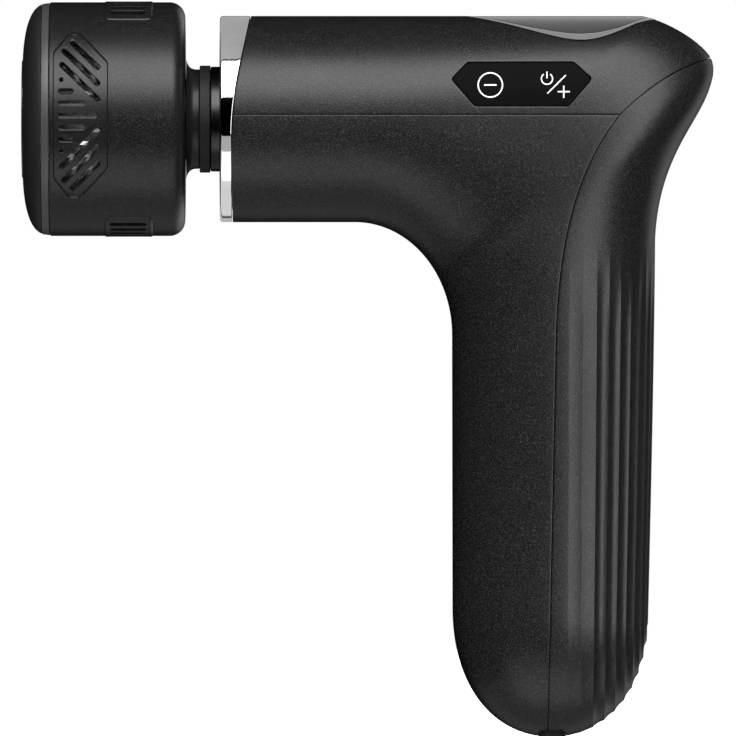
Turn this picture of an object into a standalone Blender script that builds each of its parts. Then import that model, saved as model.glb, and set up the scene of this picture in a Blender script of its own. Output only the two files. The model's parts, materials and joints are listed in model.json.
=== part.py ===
"""Hand-held percussion massager with a cooled massage head, as an assembly of separate pieces.

The barrel lies along X with the head at its -X end, and the handle hangs down along Z. The origin is the
middle of the hand grip, on the handle's axis. Lengths here are millimetres; meshes are written in metres.
"""

import math

import bmesh
import bpy
import numpy as np
from mathutils import Matrix, Vector

MM = 0.001
CLEAR = 0.3  # gap kept between neighbouring pieces

# The housing. Heights in this file are measured from the barrel's axis, which is BARREL_Z over the origin.
BARREL_Z = 80.0
BARREL_R = 23.2
GRIP_HALF_WIDTH = 19.6
WALL = 2.0
NOSE_X = -73.0
BEND_X = -44.3  # the barrel's straight part ends here and the bend into the handle begins
BEND_Z = -48.6  # the handle's straight part begins here
BEND_RX = 21.8
BEND_RZ = 25.4
HANDLE_BOTTOM = -139.0
SEAM_Z = 0.8
ROUND_STEPS = 24  # sides of the housing
FAN_STEPS = 15  # sections in the bend
HEAD_STEPS = 32  # sides of the round outer pieces
TURNED_STEPS = 20  # sides of the round inner pieces

# The drive: a slider-crank, at rest at its front dead centre.
CRANK_THROW = 3.0
ROD_LENGTH = 30.0
SLEEVE_R = 11.8
SOCKET_R = 8.9
WRIST_X = -CRANK_THROW - ROD_LENGTH

# The massage head.
HEAD_R = 26.3
HEAD_FRONT = -119.3
HEAD_REAR = -82.5
SHANK_R = 8.5
VENT_SLOT = 1.1

# The rocking key plate, on the barrel's -Y side.
KEY_ANGLE = math.radians(20)
KEY_X = -7.0

# The charging port, in the handle's lower end.
PORT_RIM = HANDLE_BOTTOM

COLOURS = {
    "satin_black": ((0.022, 0.022, 0.023), 0.45, 0.0),
    "gloss_black": ((0.006, 0.006, 0.007), 0.12, 0.0),
    "matte_black": ((0.012, 0.012, 0.013), 0.6, 0.0),
    "chrome": ((0.82, 0.82, 0.83), 0.08, 1.0),
    "smoked_glass": ((0.03, 0.03, 0.035), 0.05, 0.0),
    "silver": ((0.6, 0.6, 0.62), 0.3, 1.0),
    "rubber": ((0.02, 0.02, 0.02), 0.8, 0.0),
    "board_green": ((0.02, 0.16, 0.07), 0.5, 0.0),
    "aluminium": ((0.55, 0.55, 0.56), 0.35, 1.0),
    "steel": ((0.5, 0.5, 0.5), 0.3, 1.0),
    "bronze": ((0.5, 0.32, 0.14), 0.4, 1.0),
    "copper": ((0.7, 0.28, 0.12), 0.35, 1.0),
    "cell_wrap": ((0.05, 0.2, 0.4), 0.4, 0.0),
    "ceramic": ((0.8, 0.8, 0.78), 0.6, 0.0),
    "white_plastic": ((0.7, 0.7, 0.68), 0.5, 0.0),
}


# Curves and outlines


def bezier(a, b, c, d, count=10):
    """The points of a cubic curve from a to d, with b and c as its handles."""
    t = np.linspace(0, 1, count)[:, None]
    points = np.array([a, b, c, d], float)
    weights = np.hstack([(1 - t) ** 3, 3 * t * (1 - t) ** 2, 3 * t**2 * (1 - t), t**3])
    return weights @ points


def arc(centre, radius, start, end, count):
    angles = np.radians(np.linspace(start, end, count))
    return np.array(centre) + radius * np.column_stack([np.cos(angles), np.sin(angles)])


def circle(centre, radius, count):
    return arc(centre, radius, 0, 360, count + 1)[:-1]


def rectangle(x0, x1, y0, y1):
    return np.array([(x0, y0), (x1, y0), (x1, y1), (x0, y1)], float)


def rounded(x0, x1, y0, y1, radius, count=4):
    """A rectangle with round corners."""
    corners = [(x1, y1, 0), (x0, y1, 90), (x0, y0, 180), (x1, y0, 270)]
    middle = np.array([(x0 + x1) / 2, (y0 + y1) / 2])
    loops = []
    for x, y, start in corners:
        corner = np.array([x, y])
        loops.append(arc(corner - radius * np.sign(corner - middle), radius, start, start + 90, count))
    return np.vstack(loops)


def beside(curve, distance):
    """The curve moved sideways, to its left for a positive distance."""
    along = np.gradient(np.asarray(curve, float), axis=0)
    along /= np.linalg.norm(along, axis=1)[:, None]
    return curve + distance * np.column_stack([-along[:, 1], along[:, 0]])


# Objects

MATERIALS = {}
SCENE = bpy.context.scene


def clear_scene():
    for obj in list(bpy.data.objects):
        bpy.data.objects.remove(obj)


def make_materials():
    for name, (colour, roughness, metallic) in COLOURS.items():
        material = bpy.data.materials.new(name)
        material.use_nodes = True
        shader = material.node_tree.nodes["Principled BSDF"]
        shader.inputs["Base Color"].default_value = (*colour, 1)
        shader.inputs["Roughness"].default_value = roughness
        shader.inputs["Metallic"].default_value = metallic
        MATERIALS[name] = material


def make_axis(name, parent, place):
    """An empty that marks a joint's axis. Its place is given from the barrel's axis, as everything is."""
    empty = bpy.data.objects.new(name, None)
    empty.empty_display_size = 10 * MM
    SCENE.collection.objects.link(empty)
    if parent is None:
        empty.location = Vector(place) * MM + Vector((0, 0, BARREL_Z * MM))
    else:
        empty.parent = parent
        empty.location = Vector(place) * MM - absolute(parent)
    return empty


def absolute(obj):
    """An empty's place, from the barrel's axis, in metres."""
    place = Vector(obj.location)
    if obj.parent is None:
        return place - Vector((0, 0, BARREL_Z * MM))
    return place + absolute(obj.parent)


def piece(name, solid, material, parent):
    """An object made of (points, faces), with its own origin on its parent's axis."""
    points, faces = solid
    place = absolute(parent)
    mesh = bpy.data.meshes.new(name)
    mesh.from_pydata([Vector(p) * MM - place for p in points], [], [list(map(int, f)) for f in faces])
    edit = bmesh.new()
    edit.from_mesh(mesh)
    bmesh.ops.recalc_face_normals(edit, faces=edit.faces)
    if edit.calc_volume(signed=True) < 0:
        bmesh.ops.reverse_faces(edit, faces=edit.faces)
    edit.to_mesh(mesh)
    edit.free()
    mesh.materials.append(MATERIALS[material])
    mesh.shade_smooth()
    mesh.set_sharp_from_angle(angle=math.radians(35))
    obj = bpy.data.objects.new(name, mesh)
    obj.parent = parent
    SCENE.collection.objects.link(obj)
    return obj


def helper(name, solid, parent):
    """A closed shape used only to cut, keep or join."""
    obj = piece(name, solid, "steel", parent)
    obj.hide_render = True
    obj.display_type = "WIRE"
    return obj


def combine(obj, operation, *solids):
    for number, solid in enumerate(solids):
        other = helper(f"{obj.name}_{operation.lower()}_{len(obj.modifiers)}_{number}", solid, obj.parent)
        modifier = obj.modifiers.new(f"{operation.lower()}_{number}", "BOOLEAN")
        modifier.operation = operation
        modifier.object = other


def cut(obj, *solids):
    combine(obj, "DIFFERENCE", *solids)


def keep(obj, *solids):
    combine(obj, "INTERSECT", *solids)


def join(obj, *solids):
    combine(obj, "UNION", *solids)


# Solids, as (points, faces)


def turned(profile, axis="X", centre=(0, 0), steps=TURNED_STEPS):
    """A profile of (radius, distance along the axis) turned once round it."""
    points = []
    rings = []
    for radius, along in profile:
        count = steps if radius > 0 else 1
        rings.append(range(len(points), len(points) + count))
        for angle in np.arange(count) * 2 * math.pi / count:
            u = centre[0] + radius * math.cos(angle)
            v = centre[1] + radius * math.sin(angle)
            points.append((along, u, v) if axis == "X" else (u, v, along))
    if profile[0][0] > 0:
        rings.append(rings[0])
    faces = []
    for here, there in zip(rings, rings[1:]):
        for i in range(steps):
            corners = [here[i % len(here)], here[(i + 1) % len(here)]]
            corners += [there[(i + 1) % len(there)], there[i % len(there)]]
            faces.append(list(dict.fromkeys(corners)))
    return points, [face for face in faces if len(face) > 2]


def tube(inner, outer, low, high, **where):
    return turned([(inner, low), (outer, low), (outer, high), (inner, high)], **where)


def prism(outline, low, high, axis="Z"):
    """An outline drawn in the two other directions and extruded along the axis."""
    places = {"X": lambda u, v, a: (a, u, v), "Y": lambda u, v, a: (u, a, v), "Z": lambda u, v, a: (u, v, a)}
    count = len(outline)
    points = [places[axis](u, v, a) for a in (low, high) for u, v in outline]
    faces = [list(range(count)), list(range(count, 2 * count))]
    for i in range(count):
        j = (i + 1) % count
        faces.append([i, j, count + j, count + i])
    return points, faces


def rod(radius, low, high, axis="X", centre=(0, 0), steps=TURNED_STEPS):
    return prism(circle(centre, radius, steps), low, high, axis)


def frame_of(outer, inner, low, high, axis="Z"):
    """A prism with a hole: both outlines have the same number of points."""
    points, _ = prism(np.vstack([outer, inner]), low, high, axis)
    count = len(outer)
    faces = []
    for i in range(count):
        j = (i + 1) % count
        faces.append([i, j, count + j, count + i])
        faces.append([2 * count + k for k in (i, j, count + j, count + i)])
        faces.append([i, j, 2 * count + j, 2 * count + i])
        faces.append([count + i, count + j, 3 * count + j, 3 * count + i])
    return points, faces


def block(x0, x1, y0, y1, z0, z1):
    return prism(rectangle(x0, x1, y0, y1), z0, z1)


def moved(solid, matrix):
    points, faces = solid
    return [tuple(matrix @ Vector(p)) for p in points], faces


# The housing's form


def rear_outline():
    """The side view's upper and rear edge, from the bend round the rear corner to the handle's lower end."""
    return np.vstack(
        [
            [(BEND_X, BARREL_R)],
            bezier((20.5, BARREL_R), (25, 22.2), (32, 18.6), (35.2, 14.6), 12),
            bezier((35.2, 14.6), (36.6, 12.8), (36.7, 10.4), (35.6, 7.4), 10)[1:],
            bezier((35.6, 7.4), (33.6, -0.3), (24, -8), (23.2, -27.2), 18)[1:],
            bezier((23.2, -27.2), (23.1, -50), (22.3, -85), (21.6, -113.6), 12)[1:],
        ]
    )


def section(inner, outer, half_width, power, steps):
    """A closed superellipse standing on the side view's line from inner to outer."""
    centre = (inner + outer) / 2
    reach = (outer - inner) / 2
    points = []
    for angle in np.arange(steps) * 2 * math.pi / steps:
        c, s = math.cos(angle), math.sin(angle)
        u = math.copysign(abs(c) ** (2 / power), c)
        v = math.copysign(abs(s) ** (2 / power), s)
        x, z = centre + u * reach
        points.append((x, half_width * v, z))
    return points


def smooth(share):
    return share * share * (3 - 2 * share)


def half_width_at(share):
    """The housing narrows from the barrel, at 0, through the bend, to the grip's lower half, at 1."""
    return BARREL_R + smooth(share) * (GRIP_HALF_WIDTH - BARREL_R)


def housing_sections(steps, fan_steps):
    """The sections of the housing from its nose to just before its lower end."""
    rear = rear_outline()
    pivot = np.array([BEND_X, BEND_Z])
    angles = np.degrees(np.arctan2(rear[:, 1] - BEND_Z, rear[:, 0] - BEND_X))
    sections = []
    for x in (NOSE_X, (NOSE_X + BEND_X) / 2):
        sections.append(section(np.array([x, -BARREL_R]), np.array([x, BARREL_R]), BARREL_R, 2, steps))
    for share in np.linspace(0, 1, fan_steps + 1):
        angle = 90 * (1 - share)
        c, s = math.cos(math.radians(angle)), math.sin(math.radians(angle))
        inner = pivot + np.array([c, s]) / math.hypot(c / BEND_RX, s / BEND_RZ)
        outer = np.array([np.interp(-angle, -angles, rear[:, 0]), np.interp(-angle, -angles, rear[:, 1])])
        power = 2 + 0.4 * math.sin(math.pi * share) ** 2 + 0.15 * smooth(share)
        sections.append(section(inner, outer, half_width_at(share / 2), power, steps))
    front_end, rear_end = np.array([-22.4, -110.5]), rear[-1]
    for share in np.linspace(0, 1, 4)[1:]:
        inner = (1 - share) * np.array([BEND_X + BEND_RX, BEND_Z]) + share * front_end
        z = (1 - share) * BEND_Z + share * rear_end[1]
        outer = np.array([np.interp(-z, -rear[:, 1], rear[:, 0]), z])
        sections.append(section(inner, outer, half_width_at(0.5 + share / 2), 2.15, steps))
    pole = np.array([0, HANDLE_BOTTOM])
    front = bezier(front_end, (-22.2, -128), (-13, HANDLE_BOTTOM), pole, 9)
    back = bezier(rear_end, (21.2, -128.5), (12.5, HANDLE_BOTTOM), pole, 9)
    full = back[0, 0] - front[0, 0]
    for inner, outer in zip(front[1:-1], back[1:-1]):
        half_width = GRIP_HALF_WIDTH * (outer[0] - inner[0]) / full
        sections.append(section(inner, outer, half_width, 2.15, steps))
    return sections, (0, 0, HANDLE_BOTTOM)


def housing_surface():
    """The housing's outer face as an open surface: open at the nose, closed at the handle's lower end."""
    sections, pole = housing_sections(ROUND_STEPS, FAN_STEPS)
    points = [point for loop in sections for point in loop] + [pole]
    faces = []
    for row in range(len(sections) - 1):
        for i in range(ROUND_STEPS):
            j = (i + 1) % ROUND_STEPS
            a, b = row * ROUND_STEPS, (row + 1) * ROUND_STEPS
            faces.append([a + i, b + i, b + j, a + j])
    last = (len(sections) - 1) * ROUND_STEPS
    for i in range(ROUND_STEPS):
        faces.append([last + i, len(points) - 1, last + (i + 1) % ROUND_STEPS])
    return points, faces


def housing_piece(name, material, parent, thickness=WALL):
    """The whole housing as a thin wall, to be cut down to one piece of it."""
    obj = piece(name, housing_surface(), material, parent)
    mesh = obj.data
    if mesh.polygons[0].normal.dot(mesh.polygons[0].center - Vector((mesh.polygons[0].center.x, 0, 0))) < 0:
        mesh.flip_normals()
    wall = obj.modifiers.new("wall", "SOLIDIFY")
    wall.thickness = thickness * MM
    wall.offset = -1
    wall.use_even_offset = True
    return obj


def grip_seam():
    """The side view's line between the front shell and the rear grip, from the bottom up to the rear."""
    return np.vstack(
        [
            [(-1.1, -142)],
            bezier((0.7, -54), (0.9, -30), (4.5, -12), (15.4, 1.1), 11),
            bezier((15.4, 1.1), (21, 6.5), (29, 12.6), (39, 14.6), 7)[1:],
        ]
    )


def collar_seam():
    """The side view's line behind the chrome collar, from its bottom to its top."""
    return np.vstack([[(-71.9, -26)], bezier((-71.9, -4), (-71.9, 6), (-69.2, 15), (-67.4, 25.5), 8)])


def window_outline(inset):
    """The display window seen from above: a leaf, blunt at its rear."""
    front, widest, rear = -20.3 + inset, 16.3 - inset, 23.6 - inset
    near = bezier((front, 0), (front, 5), (-4, widest), (6.5, widest), 9)
    far = bezier((6.5, widest), (15, widest), (rear, 8.5), (rear, 0), 8)[1:]
    half = np.vstack([near, far])
    return np.vstack([half, half[-2:0:-1] * (1, -1)])


def key_outline(inset):
    """The key plate seen from the side: a flat hexagon."""
    left, right, low, high, tip = -22.7 + inset, 8.8 - inset, 2.7 + inset, 12.6 - inset, 8.8
    corners = [(left, tip), (-17.5 + inset, low), (3.6 - inset, low), (right, tip)]
    return np.array(corners + [(4.7 - inset, high), (-19.1 + inset, high)])


# Pieces, one function for each group


def make_shells(root):
    seam = grip_seam()
    collar = beside(collar_seam(), -CLEAR)
    split = SEAM_Z
    meets = np.array([np.interp(split, seam[:, 1], seam[:, 0]), split])
    above = seam[seam[:, 1] > split]
    below = seam[seam[:, 1] < split]

    top = housing_piece("top_cover", "satin_black", root)
    right = beside(np.vstack([meets, above]), CLEAR / 2)
    left = collar[collar[:, 1] > split + CLEAR / 2]
    start = np.interp(split + CLEAR / 2, collar[:, 1], collar[:, 0])
    outline = np.vstack([right, [(39, 40), (-60, 40)], left[::-1], [(start, split + CLEAR / 2)]])
    outline[0] = (meets[0], split + CLEAR / 2)
    keep(top, prism(outline, -40, 40, "Y"))
    cut(top, prism(window_outline(-CLEAR), 5, 40))
    cut(top, prism(key_outline(-CLEAR), -40, -5, "Y"))

    front = housing_piece("front_shell", "satin_black", root)
    right = beside(np.vstack([below, meets]), CLEAR / 2)
    right[-1] = (meets[0] - CLEAR, split - CLEAR / 2)
    left = collar[collar[:, 1] < split - CLEAR / 2]
    outline = np.vstack([right, [(left[-1, 0], split - CLEAR / 2)], left[::-1], [(-72, -142)]])
    keep(front, prism(outline, -40, 40, "Y"))
    cut(front, prism(port_opening(3.1 + CLEAR, 6.4 + CLEAR), -150, -120))

    grip = housing_piece("rear_grip", "satin_black", root)
    outline = np.vstack([beside(seam, -CLEAR / 2), [(60, 14), (60, -142)]])
    keep(grip, prism(outline, -40, 40, "Y"))
    cut(grip, prism(port_opening(3.1 + CLEAR, 6.4 + CLEAR), -150, -120))


def make_nose(root):
    collar = piece("collar_ring", tube(20.6, BARREL_R, -74.7, -66, steps=HEAD_STEPS), "chrome", root)
    seam = collar_seam()
    keep(collar, prism(np.vstack([seam, [(-80, 25.5), (-80, -26)]]), -40, 40, "Y"))
    profile = [(12.7, -74.2), (20.3, -74.2), (20.3, -66), (18.6, -66), (18.6, -71.4), (12.7, -71.4)]
    piece("nose_plate", turned(profile, steps=HEAD_STEPS), "gloss_black", root)
    profile = [(12.1, -69.6), (18.2, -71.1), (18.2, -69.3), (12.1, -68.4)]
    piece("dust_seal", turned(profile), "rubber", root)


def make_display(root):
    bezel = housing_piece("display_bezel", "silver", root)
    keep(bezel, prism(window_outline(0), 5, 40))
    cut(bezel, prism(window_outline(1.5), 5, 40))
    lens = housing_piece("display_lens", "smoked_glass", root, 1.6)
    keep(lens, prism(window_outline(1.5 + CLEAR), 5, 40))
    piece("display_board", block(-12, 17, -9, 9, 15, 16.2), "board_green", root)
    piece("main_board", block(-36, 14, -13, 13, 10, 11.6), "board_green", root)


def key_frame():
    """The frame of the key board: X along the barrel, Y tangent to it and Z out of its side."""
    out = Vector((0, -math.cos(KEY_ANGLE), math.sin(KEY_ANGLE)))
    tangent = Vector((0, math.sin(KEY_ANGLE), math.cos(KEY_ANGLE)))
    axes = Matrix((Vector((1, 0, 0)), tangent, out)).transposed()
    return Matrix.Translation((KEY_X, 0, 0)) @ axes.to_4x4()


def make_keys(root, key_axis):
    plate = housing_piece("key_plate", "gloss_black", key_axis)
    keep(plate, prism(key_outline(0), -40, -5, "Y"))
    frame = key_frame()
    piece("key_board", moved(block(-14, 14, -4.5, 4.5, 16.8, 18), frame), "board_green", root)
    for name, x in (("switch_minus", -9.5), ("switch_power", 9.5)):
        body = piece(name, moved(block(x - 3, x + 3, -3, 3, 18.3, 20), frame), "matte_black", root)
        join(body, moved(rod(1.6, 19, 20.35, axis="Z", centre=(x, 0), steps=16), frame))


def make_battery(root):
    for name, x in (("battery_cell_front", -9.6), ("battery_cell_rear", 9.6)):
        profile = [(0, -117), (8.4, -117), (9.2, -116.2), (9.2, -53), (8.6, -52.4), (2.8, -52.4)]
        profile += [(2.8, -51.6), (0, -51.6)]
        piece(name, turned(profile, axis="Z", centre=(x, 0), steps=24), "cell_wrap", root)
    outline = rounded(-18.2, 18.2, -9, 9, 6)
    piece("battery_cap_upper", prism(outline, -51.3, -48.6), "white_plastic", root)
    piece("battery_cap_lower", prism(rounded(-17, 17, -8.4, 8.4, 6), -119.6, -117.3), "white_plastic", root)


def port_opening(half_x, half_y):
    return rounded(-half_x, half_x, -half_y, half_y, 0.7 * half_x, 3)


def make_charging(root):
    piece("charge_board", block(-11, 11, -8.5, 8.5, -124, -122.6), "board_green", root)
    socket = piece("usb_socket", prism(port_opening(1.6, 4.5), PORT_RIM + 2.4, -124.3), "steel", root)
    cut(socket, prism(port_opening(1.25, 4.1), -140, -126))
    rim = frame_of(port_opening(3.1, 6.4), port_opening(2.2, 5.2), PORT_RIM, PORT_RIM + 2.1)
    piece("port_bezel", rim, "matte_black", root)


def make_drive_frame(root):
    frame = piece("drive_frame", tube(15.4, 19, -65, -46), "aluminium", root)
    for side in (-1, 1):
        near, far = sorted((13 * side, 15.5 * side))
        join(frame, block(-52, -14, near, far, -13, -9.8))
    join(frame, block(-16, 17, -15.8, 15.8, -11.8, -9.8))
    cut(frame, rod(4, -20, -5, axis="Z"))
    for side in (-1, 1):
        cut(frame, rod(2.6, -20, -5, axis="Z", centre=motor_screw_place(side), steps=16))
    piece("guide_bush", tube(SLEEVE_R + CLEAR, 15.1, -64, -48), "bronze", root)
    piece("damper_ring", tube(19.3, 20.7, -61, -55), "rubber", root)


def motor_screw_place(side):
    return (2.2 * side, 8.8 * side)


def tooth_outline(teeth):
    """A stator's outline: teeth with wide tips on a round hub."""
    points = []
    for tooth in range(teeth):
        middle = 2 * math.pi * tooth / teeth
        for radius, half in ((8.2, -0.3), (8.2, -0.16), (12.2, -0.11), (12.2, -0.3)):
            points.append((radius, middle + half))
        for radius, half in ((13.1, -0.3), (13.1, 0.3), (12.2, 0.3), (12.2, 0.11), (8.2, 0.16), (8.2, 0.3)):
            points.append((radius, middle + half))
    return np.array([(r * math.cos(a), r * math.sin(a)) for r, a in points])


def make_motor(root, spin):
    profile = [(5.3, -30), (6, -30), (6, -14.1), (13, -14.1), (13, -12.1), (5.3, -12.1)]
    base = piece("motor_base", turned(profile, axis="Z"), "aluminium", root)
    for side, name in ((-1, "motor_screw_left"), (1, "motor_screw_right")):
        place = {"axis": "Z", "centre": motor_screw_place(side), "steps": 16}
        cut(base, rod(1.5, -20, -5, **place))
        profile = [(0, -13.9), (1.2, -13.9), (1.2, -11.7), (2.3, -11.7), (2.3, -10.1), (0, -10.1)]
        piece(name, turned(profile, **place), "steel", root)
    stator = piece("stator_core", prism(tooth_outline(9), -27, -18), "steel", root)
    cut(stator, rod(6.3, -40, 0, axis="Z"))
    piece("winding_upper", tube(6.6, 11.6, -17.7, -15.6, axis="Z"), "copper", root)
    piece("winding_lower", tube(6.6, 11.6, -29.4, -27.3, axis="Z"), "copper", root)
    for name, low in (("motor_bearing_upper", -18), ("motor_bearing_lower", -29.6)):
        piece(name, tube(2.3, 5, low, low + 3.5, axis="Z", steps=24), "steel", root)

    can = [(2.3, -32.8), (15, -32.8), (15.6, -32.2), (15.6, -15), (14.7, -15), (14.7, -31), (2.3, -31)]
    piece("rotor_can", turned(can, axis="Z"), "steel", spin)
    piece("magnet_ring", tube(13.6, 14.4, -28.4, -16.6, axis="Z"), "steel", spin)
    piece("motor_shaft", rod(2, -32.8, -7.4, axis="Z", steps=20), "steel", spin)
    wheel = piece("crank_wheel", rod(9, -9.2, -4.2, axis="Z"), "steel", spin)
    cut(wheel, rod(2.3, -12, -7.1, axis="Z", steps=20))
    cut(wheel, rod(2.8, -6.5, 0, axis="Z", centre=(-CRANK_THROW, 0), steps=20))
    piece("crank_pin", rod(2.5, -6.2, 3.4, axis="Z", centre=(-CRANK_THROW, 0), steps=20), "steel", spin)


def make_rod(swing):
    """A flat rod with a big eye on the crank pin and a small eye at the plunger."""
    big, small = 8.0, 5.6
    lean = math.degrees(math.asin((big - small) / ROD_LENGTH))
    right = arc((-CRANK_THROW, 0), big, -90 - lean, 90 + lean, 18)
    left = arc((WRIST_X, 0), small, 90 + lean, 270 - lean, 12)
    body = piece("connecting_rod", prism(np.vstack([right, left]), -3, 3), "aluminium", swing)
    cut(body, rod(5.8, -9, 9, axis="Z", centre=(-CRANK_THROW, 0), steps=24))
    cut(body, rod(4.1, -9, 9, axis="Z", centre=(WRIST_X, 0), steps=20))
    bearing = tube(2.8, 5.5, -2.5, 2.5, axis="Z", centre=(-CRANK_THROW, 0), steps=24)
    piece("big_end_bearing", bearing, "steel", swing)
    bush = tube(2.6, 3.8, -2.8, 2.8, axis="Z", centre=(WRIST_X, 0), steps=20)
    piece("small_end_bush", bush, "bronze", swing)


def make_plunger(stroke):
    profile = [(0, -62), (SOCKET_R, -62), (SOCKET_R, -76.8), (SLEEVE_R, -76.8), (SLEEVE_R, -45), (0, -45)]
    body = piece("plunger", turned(profile), "steel", stroke)
    for low, high in ((4.3, 8), (-8, -4.3)):
        join(body, block(-47, -28, -6.5, 6.5, low, high))
    cut(body, rod(2.8, -20, 20, axis="Z", centre=(WRIST_X, 0), steps=20))
    for name, low in (("wrist_pin_upper", 3.3), ("wrist_pin_lower", -7.8)):
        pin = rod(2.5, low, low + 4.5, axis="Z", centre=(WRIST_X, 0), steps=20)
        piece(name, pin, "steel", stroke)
    piece("socket_lip", tube(SOCKET_R, 12.05, -79, -77.1), "rubber", stroke)


def vent_slots():
    """The side vent's slots, as ((x, z), (x, z)) ends: level slots between two sets of slanting ones."""
    slots = []
    for step in range(-2, 3):
        slots.append(((-110.8, 2.75 * step), (-101.8 - 2.85 * abs(step), 2.75 * step)))
    for number, length in enumerate((8.8, 8.0, 6.0)):
        for side in (-1, 1):
            low = 3.6 + 3.8 * number
            slots.append(((-101.6, side * low), (-101.6 - length, side * (low + length))))
    return slots


def slot_prism(start, end, low, high):
    start, end = np.array(start), np.array(end)
    along = (end - start) / np.linalg.norm(end - start)
    across = np.array([-along[1], along[0]]) * VENT_SLOT / 2
    start, end = start - along * VENT_SLOT / 2, end + along * VENT_SLOT / 2
    return prism(np.array([start + across, start - across, end - across, end + across]), low, high, "Y")


def make_head(head):
    rim = bezier((25.7, -115.6), (24.6, -117.7), (20.5, -119.1), (13.5, HEAD_FRONT), 6)
    profile = [(13.5, -117.3), (20.4, -117.3), (22.8, -115.6)] + [tuple(p) for p in rim]
    piece("face_cap", turned(profile, steps=HEAD_STEPS), "matte_black", head)
    plate = [(0, HEAD_FRONT), (13.2, HEAD_FRONT), (13.2, -117.4), (0, -117.4)]
    piece("contact_plate", turned(plate, steps=HEAD_STEPS), "aluminium", head)
    trim = [(23, -115.3), (25.8, -115.3), (26.1, -113.6), (23, -113.6)]
    piece("trim_ring", turned(trim, steps=HEAD_STEPS), "silver", head)
    piece("peltier_tile", block(-117.1, -114, -10, 10, -10, 10), "ceramic", head)

    rear = [(23.3 + 3 * math.cos(a), -85.5 + 3 * math.sin(a)) for a in (0, 0.52, 1.05, math.pi / 2)]
    profile = [(24.3, -113.3), (HEAD_R, -113.3)] + rear
    profile += [(9.4, HEAD_REAR), (9.4, -84.5), (23.3, -84.5), (24.3, -85.5)]
    shell = piece("head_shell", turned(profile, steps=HEAD_STEPS), "satin_black", head)
    for side in (-1, 1):
        low, high = sorted((15 * side, 30 * side))
        cut(shell, *[slot_prism(start, end, low, high) for start, end in vent_slots()])
        for number in range(-4, 5):
            turn = Matrix.Rotation(math.radians(6.7 * number), 4, "X")
            low, high = sorted((20 * side, 32 * side))
            cut(shell, moved(block(-99.5, -91.2, -0.85, 0.85, low, high), turn))

    fins = [(-113.7, -22), (-113.7, 22), (-111.4, 22)]
    for number in range(15):
        z = 19.6 - 2.8 * number
        fins += [(-111.4, z + 0.4), (-101.2, z + 0.4), (-101.2, z - 0.4), (-111.4, z - 0.4)]
    sink = piece("heat_sink", prism(np.array(fins + [(-111.4, -22)]), -22, 22, "Y"), "aluminium", head)
    join(sink, block(-112.5, -101.5, -0.7, 0.7, -21.3, 21.3))
    keep(sink, rod(22.6, -120, -95))

    fan = piece("fan_frame", tube(20.2, 23.7, -100.4, -92), "matte_black", head)
    join(fan, rod(7.5, -93.2, -92))
    for number in range(3):
        turn = Matrix.Rotation(math.radians(120 * number), 4, "X")
        join(fan, moved(block(-93.2, -92.1, -1.5, 1.5, 5, 21), turn))
    piece("head_board", tube(6, 22, -90.6, -89.2), "board_green", head)

    profile = [(0, -87), (16, -87), (16, -84.8), (9, -84.8), (9, -82.2), (12.6, -82.2), (10.9, -80.9)]
    profile += [(10.9, -79.3)]
    profile += [(SHANK_R, -79.3), (SHANK_R, -72.1), (7.3, -72.1), (7.3, -69.9), (SHANK_R, -69.9)]
    profile += [(SHANK_R, -65), (7.9, -64.4), (0, -64.4)]
    stem = piece("head_stem", turned(profile), "matte_black", head)
    piece("stem_oring", tube(7.6, 8.6, -71.8, -70.2), "rubber", head)
    for number in range(3):
        angle = math.radians(120 * number + 30)
        place = {"centre": (13 * math.cos(angle), 13 * math.sin(angle)), "steps": 12}
        cut(stem, rod(1.5, -90, -84, **place))
        profile = [(0, -88.9), (2.2, -88.9), (2.2, -87.3), (1.2, -87.3), (1.2, -84.8), (0, -84.8)]
        piece(f"head_screw_{number + 1}", turned(profile, **place), "steel", head)


def make_fan(spin):
    hub = piece("fan_rotor", rod(6.9, -99.4, -93.6), "gloss_black", spin)
    pitched = Matrix.Translation((-96.5, 0, 0)) @ Matrix.Rotation(math.radians(50), 4, "Z")
    blade = moved(block(-3.8, 3.8, -0.5, 0.5, 5, 19.3), pitched)
    for number in range(7):
        join(hub, moved(blade, Matrix.Rotation(2 * math.pi * number / 7 + 0.1, 4, "X")))


def main():
    clear_scene()
    make_materials()
    root = make_axis("housing_frame", None, (0, 0, 0))
    key_radius = BARREL_R - WALL / 2
    key_place = (KEY_X, -key_radius * math.cos(KEY_ANGLE), key_radius * math.sin(KEY_ANGLE))
    key_axis = make_axis("key_axis", root, key_place)
    spin = make_axis("motor_axis", root, (0, 0, 0))
    swing = make_axis("crank_pin_axis", spin, (-CRANK_THROW, 0, 0))
    stroke = make_axis("plunger_axis", root, (WRIST_X, 0, 0))
    head = make_axis("head_axis", stroke, (HEAD_REAR, 0, 0))
    fan = make_axis("fan_axis", head, (-96, 0, 0))
    make_shells(root)
    make_nose(root)
    make_display(root)
    make_keys(root, key_axis)
    make_battery(root)
    make_charging(root)
    make_drive_frame(root)
    make_motor(root, spin)
    make_rod(swing)
    make_plunger(stroke)
    make_head(head)
    make_fan(fan)


main()
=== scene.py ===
"""Looks of the massage gun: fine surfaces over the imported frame, materials, light and camera.

Lengths are millimetres, measured from the barrel's axis; make_object turns them into the frame's metres.
"""

import json
import math

import bmesh
import bpy
import numpy as np
from mathutils import Matrix, Vector
from mathutils.bvhtree import BVHTree


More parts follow.
